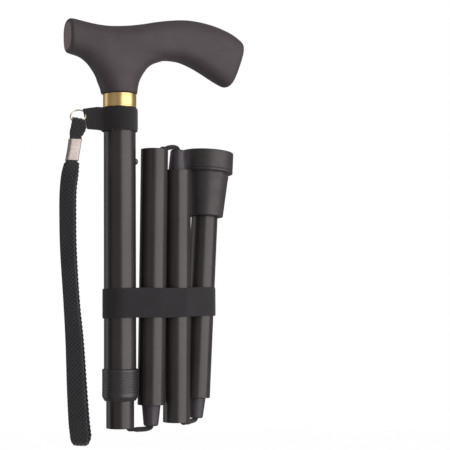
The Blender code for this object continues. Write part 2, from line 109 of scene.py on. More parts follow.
def tube_frame(letter):
    """The pivot's frame moved onto the axis of the tube beyond the fold."""
    return pivot_frame(letter) @ Matrix.Translation((SPACING[letter] / 2 * MM, 0, 0))


def swivel_frame(joint):
    """The strap's frame at a joint: X away from the shaft, Z up."""
    y = -Vector(JOINTS["strap_swing"]["axis"]).normalized()
    z = Vector((0, 0, 1))
    return axes_frame(JOINTS[joint]["pos_m"], y.cross(z), y, z)


SHAFT = shaft_frame()
HANDLE = SHAFT @ Matrix.Translation((0, 0, HANDLE_Z * MM))
ACROSS = Matrix.Rotation(math.radians(90), 4, "Y")    # turns Z into X, the way the button points


# ------------------------------------------------------------------ numbers
def angles(count):
    """Evenly spaced angles once round."""
    return [2 * math.pi * i / count for i in range(count)]


def ease(value, start, reach):
    """0 at start and 1 from start + reach on; a negative reach rises towards smaller values."""
    return min(1.0, max(0.0, (value - start) / reach))


def unit(vector):
    return vector / np.linalg.norm(vector)


def heading(path, k):
    """Unit direction of an open polyline at one of its points."""
    return unit(path[min(k + 1, len(path) - 1)] - path[max(k - 1, 0)])


def run_along(points):
    """Distance along a polyline at each of its points."""
    return np.concatenate([[0], np.cumsum(np.linalg.norm(np.diff(points, axis=0), axis=1))])


def resampled(at, run, rows):
    """Rows of numbers known at the distances run, read off at the distances at."""
    return np.stack([np.interp(at, run, column) for column in np.array(rows).T], axis=1)


def smooth_table(table, count):
    """Resamples rows of numbers along a uniform Catmull-Rom curve, evenly in the row index."""
    t = np.asarray(table, float)
    padded = np.vstack([2 * t[0] - t[1], t, 2 * t[-1] - t[-2]])
    out = []
    for s in np.linspace(0, len(t) - 1, count):
        i = min(int(s), len(t) - 2)
        u = s - i
        p0, p1, p2, p3 = padded[i:i + 4]
        out.append(0.5 * ((2 * p1) + (p2 - p0) * u + (2 * p0 - 5 * p1 + 4 * p2 - p3) * u * u
                          + (3 * p1 - p0 - 3 * p2 + p3) * u ** 3))
    return np.array(out)


def super_ring(count, power):
    """Superellipse one unit in reach: an ellipse at power 2, squarer above."""
    out = []
    for a in angles(count):
        c = math.cos(a)
        s = math.sin(a)
        out.append((math.copysign(abs(c) ** (2 / power), c), math.copysign(abs(s) ** (2 / power), s)))
    return out


def strip_section(count):
    """Face (1 or -1) and share of the height (0 to 1) for each point round a flat strip's section."""
    up = [i / (count - 1) for i in range(count)]
    return [(1, v) for v in up] + [(-1, 1 - v) for v in up]


# ------------------------------------------------------------------ meshes
def finish_mesh(me, sharp=SHARP):
    """Outward normals, and smooth shading except over sharp edges."""
    bm = bmesh.new()
    bm.from_mesh(me)
    bmesh.ops.recalc_face_normals(bm, faces=bm.faces[:])
    for edge in bm.edges:
        edge.smooth = not (edge.is_manifold and edge.calc_face_angle(0) > math.radians(sharp))
    for face in bm.faces:
        face.smooth = True
    bm.to_mesh(me)
    bm.free()


def settle(ob, body, stands_for):
    """Puts a piece on its body, in place of its CAD nodes."""
    if body:
        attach(ob, body)
    if stands_for:
        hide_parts(*stands_for)


def piece(name, verts, faces, mat, body, place, stands_for=(), sharp=SHARP):
    """A new mesh from points in millimetres, put in its place and riding on a body."""
    m = np.array(place, float)
    co = np.asarray(verts, float) * MM @ m[:3, :3].T + m[:3, 3]
    me = bpy.data.meshes.new(name)
    me.from_pydata([tuple(v) for v in co], [], faces)
    finish_mesh(me, sharp)
    ob = bpy.data.objects.new(name, me)
    bpy.context.scene.collection.objects.link(ob)
    me.materials.append(mat)
    settle(ob, body, stands_for)
    return ob


def bake(ob):
    """Replaces an object's mesh by its evaluated one, so no modifier is left."""
    bpy.context.view_layer.update()
    dg = bpy.context.evaluated_depsgraph_get()
    me = bpy.data.meshes.new_from_object(ob.evaluated_get(dg))
    ob.modifiers.clear()
    ob.data = me


def fillet(outline, reach, steps=3):
    """Rounds the corners of a closed (radius, height[, reach]) outline."""
    share = 0.45       # of an edge that one corner may take
    out = []
    count = len(outline)
    for i in range(count):
        here = np.array(outline[i][:2], float)
        want = outline[i][2] if len(outline[i]) > 2 else reach
        if here[0] < ON_AXIS or want <= 0:
            out.append(tuple(here))
            continue
        before = np.array(outline[i - 1][:2], float) - here
        after = np.array(outline[(i + 1) % count][:2], float) - here
        d = min(want, share * np.linalg.norm(before), share * np.linalg.norm(after))
        p0 = here + unit(before) * d
        p2 = here + unit(after) * d
        for k in range(steps + 1):
            t = k / steps
            out.append(tuple((1 - t) ** 2 * p0 + 2 * t * (1 - t) * here + t * t * p2))
    return out


def turned(outline, steps, shape):
    """Points and faces of a closed outline turned about Z; shape(r, z, a) may change the radius."""
    verts = []
    rows = []
    for r, z in outline:
        if r < ON_AXIS:
            verts.append((0.0, 0.0, z))
            rows.append([len(verts) - 1] * steps)
            continue
        row = []
        for a in angles(steps):
            rr = shape(r, z, a) if shape else r
            verts.append((rr * math.cos(a), rr * math.sin(a), z))
            row.append(len(verts) - 1)
        rows.append(row)
    faces = []
    for k in range(len(rows)):
        low = rows[k]
        high = rows[(k + 1) % len(rows)]
        for i in range(steps):
            j = (i + 1) % steps
            corners = list(dict.fromkeys((low[i], low[j], high[j], high[i])))
            if len(corners) > 2:
                faces.append(tuple(corners))
    return verts, faces


def lathe(name, outline, mat, body, place, stands_for=(), reach=0.3, steps=STEPS, shape=None):
    """A turned piece from a closed outline; reach is how far its corners are rounded."""
    verts, faces = turned(fillet(outline, reach), steps, shape)
    return piece(name, verts, faces, mat, body, place, stands_for)


def skin(rings, closed):
    """Points and faces of equal rings skinned in order; open ends are capped with a fan."""
    count = len(rings[0])
    verts = [tuple(p) for ring in rings for p in ring]
    faces = []
    last = len(rings) if closed else len(rings) - 1
    for k in range(last):
        a = k * count
        b = ((k + 1) % len(rings)) * count
        for i in range(count):
            j = (i + 1) % count
            faces.append((a + i, a + j, b + j, b + i))
    if not closed:
        for start in (0, (len(rings) - 1) * count):
            ring = verts[start:start + count]
            verts.append(tuple(np.mean(np.array(ring, float), axis=0)))
            hub = len(verts) - 1
            for i in range(count):
                faces.append((start + i, start + (i + 1) % count, hub))
    return verts, faces


def joined(parts):
    """Points and faces of several meshes as one."""
    verts = []
    faces = []
    for more, other in parts:
        faces += [tuple(i + len(verts) for i in face) for face in other]
        verts += more
    return verts, faces


# ------------------------------------------------------------------ materials
class Nodes:
    """A short way to write a procedural material."""

    def __init__(self, name):
        self.mat = bpy.data.materials.new(name)
        self.mat.use_nodes = True
        self.tree = self.mat.node_tree
        self.shader = self.tree.nodes["Principled BSDF"]
        self.coords = self.tree.nodes.new("ShaderNodeTexCoord")

    def node(self, kind, **values):
        """A new node; each value goes to the input of that name, or else to the property."""
        n = self.tree.nodes.new(kind)
        for key, value in values.items():
            if key in n.inputs:
                n.inputs[key].default_value = value
            else:
                setattr(n, key, value)
        return n

    def link(self, a, b):
        self.tree.links.new(a, b)

    def mapped(self, scale, rotation=(0, 0, 0)):
        m = self.node("ShaderNodeMapping")
        m.inputs["Scale"].default_value = scale
        m.inputs["Rotation"].default_value = rotation
        self.link(self.coords.outputs["Object"], m.inputs["Vector"])
        return m.outputs["Vector"]

    def noise(self, scale, detail=3.0, vector=None):
        n = self.node("ShaderNodeTexNoise", Scale=scale, Detail=detail, Roughness=0.55)
        self.link(vector or self.coords.outputs["Object"], n.inputs["Vector"])
        return n.outputs["Fac"]

    def ramp(self, fac, low, high, a=0.35, b=0.65):
        """Carries the range a to b over to the range low to high."""
        r = self.node("ShaderNodeMapRange")
        r.inputs["From Min"].default_value = a
        r.inputs["From Max"].default_value = b
        r.inputs["To Min"].default_value = low
        r.inputs["To Max"].default_value = high
        self.link(fac, r.inputs["Value"])
        return r.outputs["Result"]

    def calc(self, operation, one, two):
        m = self.node("ShaderNodeMath", operation=operation)
        self.link(one, m.inputs[0])
        self.link(two, m.inputs[1])
        return m.outputs[0]

    def mix(self, fac, one, two):
        """Blend of two colours; inputs 6 and 7 and output 2 are the colour sockets."""
        m = self.node("ShaderNodeMix", data_type="RGBA")
        m.inputs[6].default_value = (*one, 1)
        m.inputs[7].default_value = (*two, 1)
        self.link(fac, m.inputs[0])
        return m.outputs[2]

    def bump(self, height, strength, distance, normal=None):
        b = self.node("ShaderNodeBump", Strength=strength, Distance=distance)
        self.link(height, b.inputs["Height"])
        if normal is not None:
            self.link(normal, b.inputs["Normal"])
        return b.outputs["Normal"]

    def set(self, **values):
        """Fixed values for the shader's inputs, with _ for a space in their names."""
        for key, value in values.items():
            self.shader.inputs[key.replace("_", " ")].default_value = value

    def wire(self, **sockets):
        """Links into the shader's inputs, with _ for a space in their names."""
        for key, socket in sockets.items():
            self.link(socket, self.shader.inputs[key.replace("_", " ")])


def moulded(name, dark, light, rough, grain=900.0, depth=0.00003, strength=0.25, spec=0.5, sheen=0.0):
    """Moulded plastic or rubber: uneven tone, patchy gloss and a fine grain."""
    n = Nodes(name)
    tone = n.noise(45.0, 4.0)
    n.wire(Base_Color=n.mix(n.ramp(tone, 0, 1), dark, light))
    n.wire(Roughness=n.ramp(n.noise(160.0, 4.0), *rough))
    n.wire(Normal=n.bump(n.noise(grain, 2.0), strength, depth))
    n.set(Specular_IOR_Level=spec, Sheen_Weight=sheen)
    return n.mat


def coated_metal():
    """Black anodised tube: drawn streaks along its length under a satin coat."""
    n = Nodes("coated_tube_look")
    streak = n.noise(1.0, 4.0, n.mapped((900, 900, 14)))
    tone = n.noise(30.0, 3.0)
    n.wire(Base_Color=n.mix(n.ramp(tone, 0, 1), (0.030, 0.0255, 0.0240), (0.040, 0.0345, 0.0325)))
    n.wire(Roughness=n.ramp(streak, 0.27, 0.38))
    n.wire(Normal=n.bump(streak, 0.12, 0.00002, n.bump(n.noise(1500.0, 2.0), 0.06, 0.00001)))
    n.set(Metallic=0.25, Specular_IOR_Level=0.6, Coat_Weight=0.25, Coat_Roughness=0.2)
    return n.mat


def turned_metal(name, colour, second, rough, scale=(60, 60, 5200)):
    """Polished or satin metal; the scale stretches its fine marks, by default round the piece."""
    n = Nodes(name)
    marks = n.noise(1.0, 3.0, n.mapped(scale))
    n.wire(Base_Color=n.mix(n.ramp(n.noise(120.0, 3.0), 0, 1), colour, second))
    n.wire(Roughness=n.ramp(marks, *rough))
    n.wire(Normal=n.bump(marks, 0.08, 0.00001))
    n.set(Metallic=1.0)
    return n.mat


def yarn(name, dark, light, pitch, rough, sheen, strength, groove_shade=False):
    """Textile: crossed fine threads over slow changes of tone; on request, painted shade where the mesh sinks
    and a painted lift on its crowns.
    """
    n = Nodes(name)
    waves = []
    for way in (1, -1):
        w = n.node("ShaderNodeTexWave", Scale=pitch, Distortion=1.2, Detail=2.0)
        w.inputs["Detail Scale"].default_value = 1.5
        n.link(n.mapped((1, 1, 1), (0, 0.7 * way, 0.5 * way)), w.inputs["Vector"])
        waves.append(w.outputs["Fac"])
    threads = n.calc("MAXIMUM", *waves)
    shade = n.calc("MULTIPLY", threads, n.ramp(n.noise(70.0, 3.0), 0.7, 1.1))
    # painted shade: the mesh's height per point darkens the colour in its grooves and lightens it on the
    # crowns
    if groove_shade:
        height = n.node("ShaderNodeAttribute", attribute_name="groove_shade")
        shade = n.calc("MULTIPLY", shade, n.ramp(height.outputs["Fac"], 0.1, 1.7, 0.2, 0.85))
    fuzz = n.noise(4200.0, 3.0)
    n.wire(Base_Color=n.mix(shade, dark, light))
    n.wire(Roughness=n.ramp(fuzz, rough - 0.1, min(rough + 0.1, 1.0)))
    n.wire(Normal=n.bump(threads, strength, 0.0001, n.bump(fuzz, 0.4, 0.00005)))
    n.set(Sheen_Weight=sheen, Sheen_Roughness=0.5, Specular_IOR_Level=0.3)
    return n.mat


LOOKS = {
    "grip": moulded("grip_look", (0.062, 0.0505, 0.0540), (0.075, 0.062, 0.066), (0.46, 0.56),
                    grain=1100.0, strength=0.22, spec=0.30, sheen=0.05),
    "cap": moulded("cap_look", (0.255, 0.188, 0.197), (0.300, 0.225, 0.235), (0.44, 0.54),
                   strength=0.2, spec=0.35),
    "tube": coated_metal(),
    "brass": turned_metal("polished_brass_look", (0.95, 0.68, 0.31), (0.91, 0.62, 0.26), (0.28, 0.36)),
    "plastic": moulded("joint_plastic_look", (0.046, 0.039, 0.047), (0.062, 0.053, 0.064), (0.36, 0.50),
                       grain=800.0),
    "ring": moulded("lock_ring_look", (0.022, 0.019, 0.021), (0.030, 0.026, 0.029), (0.32, 0.42),
                    grain=1000.0, depth=0.00001, strength=0.1, spec=0.8),
    "rubber": moulded("tip_rubber_look", (0.030, 0.0255, 0.0265), (0.042, 0.036, 0.037), (0.41, 0.53),
                      grain=700.0, depth=0.00004, spec=0.62),
    "steel": turned_metal("plated_steel_look", (0.62, 0.61, 0.60), (0.50, 0.49, 0.48), (0.22, 0.38)),
    "button": turned_metal("button_look", (0.10, 0.095, 0.09), (0.07, 0.066, 0.063), (0.16, 0.30)),
    "wire": turned_metal("gilt_wire_look", (0.93, 0.85, 0.62), (0.86, 0.76, 0.52), (0.16, 0.28)),
    "crimp": turned_metal("crimp_look", (0.44, 0.40, 0.365), (0.37, 0.33, 0.30), (0.36, 0.48),
                          (700, 700, 700)),
    "webbing": yarn("webbing_look", (0.006, 0.0055, 0.006), (0.021, 0.019, 0.021), 1100.0, 0.8, 0.35, 0.35),
    "braid": yarn("braid_look", (0.008, 0.0078, 0.0092), (0.040, 0.039, 0.046), 700.0, 0.85, 0.5, 0.6, True),
    "cord": yarn("cord_look", (0.008, 0.008, 0.008), (0.028, 0.027, 0.028), 900.0, 0.8, 0.4, 0.6),
    "band": yarn("band_look", (0.012, 0.011, 0.013), (0.028, 0.026, 0.029), 1300.0, 0.88, 0.25, 0.35),
}


# ------------------------------------------------------------------ handle
GRIP = (
    # in the handle's frame: centre x, centre height, half height, half width, lean in degrees
    (-37.4, 37.6, 11.0, 10.0, 0),
    (-36.8, 37.6, 11.6, 10.8, 0),
    (-34.5, 37.4, 11.8, 11.0, 0),
    (-27.0, 36.0, 12.0, 11.2, 0),
    (-18.0, 34.7, 12.1, 11.4, 0),
    (-8.0, 34.1, 12.4, 11.7, 0),
    (4.0, 35.2, 12.5, 12.0, 0),
    (15.0, 36.9, 12.8, 12.1, 0),
    (26.0, 38.9, 13.4, 12.1, 0),
    (36.0, 40.2, 14.0, 12.1, 0),
    (45.8, 40.7, 14.9, 12.0, 5),
    (55.4, 39.4, 16.1, 12.0, 10),
    (66.0, 36.4, 17.5, 11.9, 15),
    (76.8, 31.9, 18.5, 11.6, 19),
    (84.6, 27.8, 18.1, 10.9, 20),
    (87.7, 26.2, 16.8, 9.4, 20),
    (89.1, 25.5, 14.2, 7.4, 20),
)
NECK = (
    # in the handle's frame: height, left reach, right reach, half width
    (0.0, -12.8, 12.0, 12.2),
    (4.0, -13.8, 12.5, 12.1),
    (8.0, -15.7, 13.4, 12.0),
    (12.0, -17.3, 15.2, 11.9),
    (16.0, -20.2, 17.8, 11.8),
    (20.0, -23.4, 21.0, 11.6),
    (23.0, -27.4, 25.3, 11.5),
    (26.0, -32.0, 33.0, 11.3),
    (30.0, -34.5, 36.0, 11.2),
    (36.0, -33.0, 38.0, 11.0),
)


def smoother(ob, name, iterations):
    mod = ob.modifiers.new(name, "SMOOTH")
    mod.factor = 0.5
    mod.iterations = iterations
    return mod


def soften(ob):
    """Smooths the whole moulding lightly and the web between neck and grip much more."""
    back = HANDLE.inverted()
    group = ob.vertex_groups.new(name="web")
    for v in ob.data.vertices:
        x, _, z = back @ v.co / MM
        inside = ease(z, 7.0, 6.0) * ease(z, 40.0, -12.0) * ease(abs(x - 4.0), 46.0, -14.0)
        if inside > 0:
            group.add([v.index], inside, "REPLACE")
    smoother(ob, "smooth_all", 9)
    smoother(ob, "smooth_web", 90).vertex_group = "web"
    bake(ob)


def make_handle():
    """Grip and neck lofted apart, joined by a voxel remesh and smoothed into one moulding."""
    voxel = 0.7
    section = super_ring(64, 2.7)
    grip = []
    for x, z, high, wide, lean in smooth_table(GRIP, 90):
        tip = math.radians(lean)
        grip.append([(x + s * high * math.sin(tip), c * wide, z + s * high * math.cos(tip))
                     for c, s in section])
    section = super_ring(64, 2.15)
    neck = []
    for z, left, right, wide in smooth_table(NECK, 60):
        mid = (left + right) / 2
        neck.append([(mid + c * (right - left) / 2, s * wide, z) for c, s in section])
    verts, faces = joined([skin(grip, False), skin(neck, False)])
    ob = piece("grip_moulding", verts, faces, LOOKS["grip"], None, HANDLE)
    mod = ob.modifiers.new("remesh", "REMESH")
    mod.mode = "VOXEL"
    mod.voxel_size = voxel * MM
    bake(ob)
    soften(ob)
    ob.data.materials.clear()
    ob.data.materials.append(LOOKS["grip"])
    finish_mesh(ob.data, 60.0)
    settle(ob, "upper_shaft", ("handle_grip",))


def make_end_cap():
    """Oval cap let into the grip's short flat end, with a low rounded edge."""
    centre = 37.6
    wide = 8.3
    high = 9.4
    oval = super_ring(72, 2.3)
    rings = []
    # place along the grip, and how far the oval is drawn in there
    for x, inset in ((-36.6, 0.0), (-37.5, 0.0), (-37.7, 0.12), (-37.75, 0.5), (-37.6, 1.0), (-37.6, 1.6)):
        rings.append([(x, c * (wide - inset), centre + s * (high - inset)) for c, s in oval])
    verts, faces = skin(rings, False)
    piece("grip_end_cap", verts, faces, LOOKS["cap"], "upper_shaft", HANDLE, (), 50.0)


def make_collar():
    """Brass collar with a fine groove near each end."""
    low = 220.2
    high = 229.7
    r = 11.45
    outline = [(OUTER_BORE, low), (r - 0.15, low), (r, low + 0.3)]
    for z in (low + 1.25, high - 1.45):
        outline += [(r, z - 0.15, 0.1), (r - 0.1, z, 0.1), (r, z + 0.15, 0.1)]
    outline += [(r, high - 0.3), (r - 0.25, high), (OUTER_BORE, high)]
    lathe("collar_turned", outline, LOOKS["brass"], "upper_shaft", SHAFT,
          ("brass_collar",), 0.15)


# ------------------------------------------------------------------ upper shaft
def bore_holes(ob, radius, heights):
    """Cuts the button's holes through a tube's wall with one joined cutter."""
    deep = 5.0
    bm = bmesh.new()
    for z in heights:
        at = Matrix.Translation(SHAFT @ Vector((radius * MM, 0, z * MM)))
        bmesh.ops.create_cone(bm, cap_ends=True, segments=32, radius1=HOLE_R * MM, radius2=HOLE_R * MM,
                              depth=deep * MM, matrix=at @ ACROSS)
    me = bpy.data.meshes.new("hole_tool")
    bm.to_mesh(me)
    bm.free()
    tool = bpy.data.objects.new("hole_tool", me)
    bpy.context.scene.collection.objects.link(tool)
    mod = ob.modifiers.new("holes", "BOOLEAN")
    mod.solver = "EXACT"
    mod.object = tool
    bake(ob)
    bpy.data.objects.remove(tool)
    finish_mesh(ob.data)


def make_outer_tube():
    """Tube with its row of holes; extra rows of points keep each cut's shading near its hole."""
    low = 26.0
    high = 219.9
    holes = [TOP_HOLE - HOLE_STEP * i for i in range(7)]
    levels = sorted({z + d for z in holes for d in (-4.0, 0.0, 4.0)})
    outline = [(OUTER_BORE, low), (OUTER_R, low)] + [(OUTER_R, z, 0) for z in levels]
    outline += [(OUTER_R, high), (OUTER_BORE, high)] + [(OUTER_BORE, z, 0) for z in reversed(levels)]
    ob = lathe("outer_tube_shell", outline, LOOKS["tube"], None, SHAFT)
    bore_holes(ob, OUTER_R, holes)
    settle(ob, "upper_shaft", ("outer_tube",))


def make_lock_ring():
    """Threaded clamp ring: plain foot drawn in at its end, then fine ribs up to the rim."""
    low = 19.9
    high = 41.4
    foot = low + 5.4
    r = 12.3
    groove = 12.08
    mouth = 9.9
    bore = 11.3
    ribs = 11
    step = (high - 1.4 - foot) / ribs
    outline = [(mouth, low), (10.7, low, 0.3), (12.25, low + 2.9, 0.8), (r, foot, 0.2)]
    for i in range(ribs):
        z = foot + i * step
        outline += [(groove, z + 0.25, 0.1), (groove, z + 0.5, 0.1)]
        outline += [(r, z + 0.75, 0.15), (r, z + step, 0.15)]
    outline += [(r, high - 0.6, 0.3), (r - 0.5, high, 0.3), (bore, high, 0.2)]
    outline += [(bore, low + 1.7), (10.55, low + 0.7), (mouth, low + 0.7)]
    lathe("lock_ring_ribbed", outline, LOOKS["ring"], "lock_ring", SHAFT,
          ("lock_ring",), 0.2)


def make_inner_tube():
    """Sliding tube with the one hole that the button stands in."""
    high = 196.0
    outline = [(TUBE_BORE, INNER_LOW), (TUBE_R, INNER_LOW)]
    outline += [(TUBE_R, z, 0) for z in (175.0, TOP_HOLE, 192.0)]
    outline += [(TUBE_R, high), (TUBE_BORE, high), (TUBE_BORE, TOP_HOLE, 0)]
    ob = lathe("inner_tube_shell", outline, LOOKS["tube"], None, SHAFT)
    bore_holes(ob, TUBE_R, [TOP_HOLE])
    settle(ob, "inner_shaft", ("inner_tube",))


def make_button():
    """Domed snap button with a wider foot, turned about the hole's axis."""
    out = 10.8         # the outline's zero from the shaft's axis
    outline = [(0, -4.4), (3.1, -4.4), (3.1, -3.4), (2.2, -3.4)]
    outline += [(2.2, 0.9, 0.8), (1.7, 1.9, 0.7), (0.9, 2.25, 0.3), (0, 2.35)]
    place = SHAFT @ Matrix.Translation((out * MM, 0, TOP_HOLE * MM)) @ ACROSS
    lathe("snap_button_dome", outline, LOOKS["button"], "button", place,
          ("snap_button",), 0.15, 48)


# ------------------------------------------------------------------ folding sections
def make_section(number, letter, body):
    """A section's tube with the insert in its end."""
    place = tube_frame(letter)
    far = END_OUT + LONG[letter]
    outline = [(TUBE_BORE, END_OUT), (TUBE_R, END_OUT), (TUBE_R, far), (TUBE_BORE, far)]
    name = "tube_%d" % number
    lathe(name + "_shell", outline, LOOKS["tube"], body, place, (name,))
    make_insert(letter, body, place)


def make_insert(letter, body, place):
    """Tapered plug with a lead-in, eight shallow flutes and a small shoulder."""
    def fluted(r, z, a):
        if TIP_OUT + 1.5 < z < END_OUT - 1.6 and r > 4.0:
            return r - 0.14 * max(0.0, math.cos(8 * a)) ** 6
        return r
    deep = END_OUT + 14.0
    outline = [(CORD_BORE, TIP_OUT), (4.6, TIP_OUT, 0.5), (5.15, TIP_OUT + 1.0, 0.5), (5.2, TIP_OUT + 1.6, 0)]
    outline += [(6.4, END_OUT - 1.0, 0), (6.45, END_OUT - 0.4, 0.1), (6.8, END_OUT - 0.15, 0.1)]
    outline += [(PLUG_R, END_OUT + 0.28, 0.2), (PLUG_R, deep), (CORD_BORE, deep)]
    name = "insert_" + letter
    lathe(name + "_plug", outline, LOOKS["plastic"], body, place,
          (name,), 0.25, STEPS, fluted)


def make_socket(letter, place, end, body):
    """Liner seen in a tube's open end, with the cord's hole in its floor."""
    rim = end - 0.3
    floor = end - 15.0
    back = end - 18.0
    outline = [(6.9, rim, 0.3), (PLUG_R, rim, 0.3), (PLUG_R, back)]
    outline += [(CORD_BORE, back), (CORD_BORE, floor), (5.4, floor)]
    name = "socket_" + letter
    lathe(name + "_liner", outline, LOOKS["plastic"], body, place, (name,), 0.25)


def bend_path(letter):
    """The bent cord's centre line in the pivot frame's XZ plane."""
    half = SPACING[letter] / 2
    lean = math.radians(FAN[letter])
    path = []
    # distance from the socket's axis and height over its rim: in the socket, then round under the rim
    inside = ((0.0, 14.3), (2.2, 10.5), (4.0, 6.5), (4.8, 3.0), (5.2, 0.2))
    outside = ((6.3, -1.35), (8.6, -1.6))
    for off, high in inside + outside:
        x = off - half
        z = RIM[letter] + high
        path.append((x * math.cos(lean) - z * math.sin(lean), x * math.sin(lean) + z * math.cos(lean)))
    under = max(min(RIM[letter] - 1.6, 1.7), 1.1)
    path += [(half - 5.2, under), (half - 2.6, max(under, 1.6)), (half - 0.9, 2.1)]
    path += [(half, 3.0), (half, TIP_OUT + 0.3)]
    return smooth_table(path, 240)


def make_bend(letter, body):
    """Covered elastic cord out of one socket, over its rim and into the next insert."""
    thin = 1.22
    swell = 0.5        # added radius once the cord is clear of the socket
    weave_high = 0.05
    weave_rate = 3.2
    half = SPACING[letter] / 2
    path = bend_path(letter)
    run = run_along(path)
    side = np.array([0.0, 1.0, 0.0])
    rings = []
    for k, (x, z) in enumerate(path):
        ahead = heading(path, k)
        up = np.array([-ahead[1], 0.0, ahead[0]])
        freed = ease(x + half, 9.4, 2.2)
        ring = []
        for a in angles(32):
            weave = math.sin(4 * a + run[k] * weave_rate) * math.sin(4 * a - run[k] * weave_rate)
            r = thin + swell * freed + weave_high * weave
            ring.append(np.array([x, 0, z]) + r * (math.cos(a) * side + math.sin(a) * up))
        rings.append(ring)
    verts, faces = skin(rings, False)
    place = pivot_frame(letter)
    name = "cord_bend_" + letter
    ob = piece(name + "_braid", verts, faces, LOOKS["cord"], body, place, (name,), 60.0)
    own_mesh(ob)


def make_tip():
    """Moulded ferrule: tapered sleeve, short straight neck, and a straight-sided base with ringed tread."""
    low = 147.5
    base = 179.3
    top = 194.5
    bore = 9.6
    neck = 16.0
    r = 19.0
    tread = 1.1
    inside = END_OUT + LONG["c"] + 2.1
    outline = [
        (bore, low), (12.9, low, 0.3), (13.3, low + 0.5, 0.3), (15.7, base - 5.2, 1.0),
        (neck, base - 4.2, 0.8), (neck, base - 0.2, 0.15), (18.5, base - 0.2, 0.3), (r, base + 0.3, 0.3),
        (r, base + 1.6, 0.15), (18.7, base + 1.8, 0.1), (18.7, base + 2.1, 0.1), (r, base + 2.3, 0.15),
        (r, top - 4.0, 0), (r, top - 0.8, 0.5), (18.7, top - 0.2, 0.2), (18.2, top, 0.3), (16.4, top, 0.4),
    ]
    for ring in (14.8, 12.2, 9.6, 7.0):
        outline += [(ring + 0.4, top, 0.15), (ring + 0.1, top - tread, 0.15)]
        outline += [(ring - 0.9, top - tread, 0.15), (ring - 1.2, top, 0.15)]
    outline += [(0, top), (0, inside), (bore, inside)]
    lathe("tip_moulding", outline, LOOKS["rubber"], "section_4", tube_frame("c"),
          ("rubber_tip",))


# ------------------------------------------------------------------ strap
def holder_path(mid, tab):
    """Middle of the webbing seen from above: in along the tab, round the shaft and out again."""
    start = 0.36       # radians between the tab's plane and the round part
    around = []
    for i in range(121):
        a = start + (2 * math.pi - 2 * start) * i / 120
        around.append((mid * math.cos(a), mid * math.sin(a)))
    lead = [(27.8, tab), (25.0, tab), (21.5, tab), (18.3, tab + 0.05), (15.6, tab + 0.5), (13.2, 2.2)]
    back = [(x, -y) for x, y in reversed(lead)]
    return np.vstack([smooth_table(lead, 60), around[4:-4], smooth_table(back, 60)])


def make_holder():
    """Webbing wrapped round the shaft, its two ends face to face in a tab that narrows outwards."""
    thick = 1.25
    inner = 11.35
    tab = 0.55         # from the tab's middle plane to the middle of each end
    tab_start = 13.5   # where the two ends come close enough to need thinning
    tab_root = 18.0
    tab_long = 9.9
    narrowing = 2.0    # of the tab's end, from above
    slant = 3.4        # of the tab's end, most at its foot
    ribs = 12
    path = holder_path(inner + thick / 2, tab)
    rings = []
    for k, at in enumerate(path):
        ahead = heading(path, k)
        out = np.array([ahead[1], -ahead[0]])
        tail = max(0.0, at[0] - tab_root) / tab_long
        ring = []
        for side, v in strip_section(26):
            edge = 1 - abs(2 * v - 1) ** 10
            rib = 0.05 * math.cos(v * 2 * math.pi * ribs)
            half = (thick / 2 - 0.1) * (0.45 + 0.55 * edge) + rib * edge
            if at[0] > tab_start:
                half = min(half, tab - 0.05)
            p = at + out * side * half
            z = HOLDER_LOW + (HOLDER_HIGH - narrowing * tail - HOLDER_LOW) * v
            ring.append((p[0] - slant * tail * (1 - v), p[1], z))
        rings.append(ring)
    verts, faces = skin(rings, False)
    place = swivel_frame("strap_swivel")
    place.translation = SHAFT.translation
    piece("holder_webbing", verts, faces, LOOKS["webbing"], "strap_mount", place,
          ("strap_holder",), 50.0)
    make_stitches(place)


def make_stitches(place):
    """Two lines of stitches up the tab, on both faces."""
    count = 8
    long = 1.35
    thread = 0.2
    margin = 1.4
    step = (HOLDER_HIGH - HOLDER_LOW - 2 * margin) / count
    threads = []
    for x in (17.4, 21.6):
        for side in (-1, 1):
            for i in range(count):
                z = HOLDER_LOW + margin + i * step
                rings = []
                for t in np.linspace(0, 1, 7):
                    y = side * (1.06 + 0.16 * math.sin(math.pi * t))
                    rings.append([(x + thread * math.cos(b), y + thread * math.sin(b), z + t * long)
                                  for b in angles(6)])
                threads.append(skin(rings, False))
    verts, faces = joined(threads)
    piece("holder_stitches", verts, faces, LOOKS["cord"], "strap_mount", place, (), 60.0)


def make_split_ring():
    """Round wire ring that hangs in the tab and carries the strap, turned to show as an open circle."""
    radius = 5.2
    wire = 0.45
    hang = 10.4        # from the ring's pivot to the strap's
    tilt = math.radians(45.0)
    sway = math.radians(8.0)
    strap = hang * np.array([math.cos(tilt), 0, -math.sin(tilt)])
    flat = np.array([0.5, 0.7071, 0.5])
    up = unit(np.array([0.0, 0.0, 1.0]) - 0.5 * flat)
    side = np.cross(up, flat)
    middle = strap + radius * (math.cos(sway) * up + math.sin(sway) * side)
    rings = []
    for a in angles(160):
        spoke = math.cos(a) * up + math.sin(a) * side
        rings.append([middle + radius * spoke + wire * (math.cos(b) * spoke + math.sin(b) * flat)
                      for b in angles(16)])
    verts, faces = skin(rings, True)
    piece("split_ring_wire", verts, faces, LOOKS["wire"], "ring", swivel_frame("ring_swing"),
          ("split_ring",), 60.0)


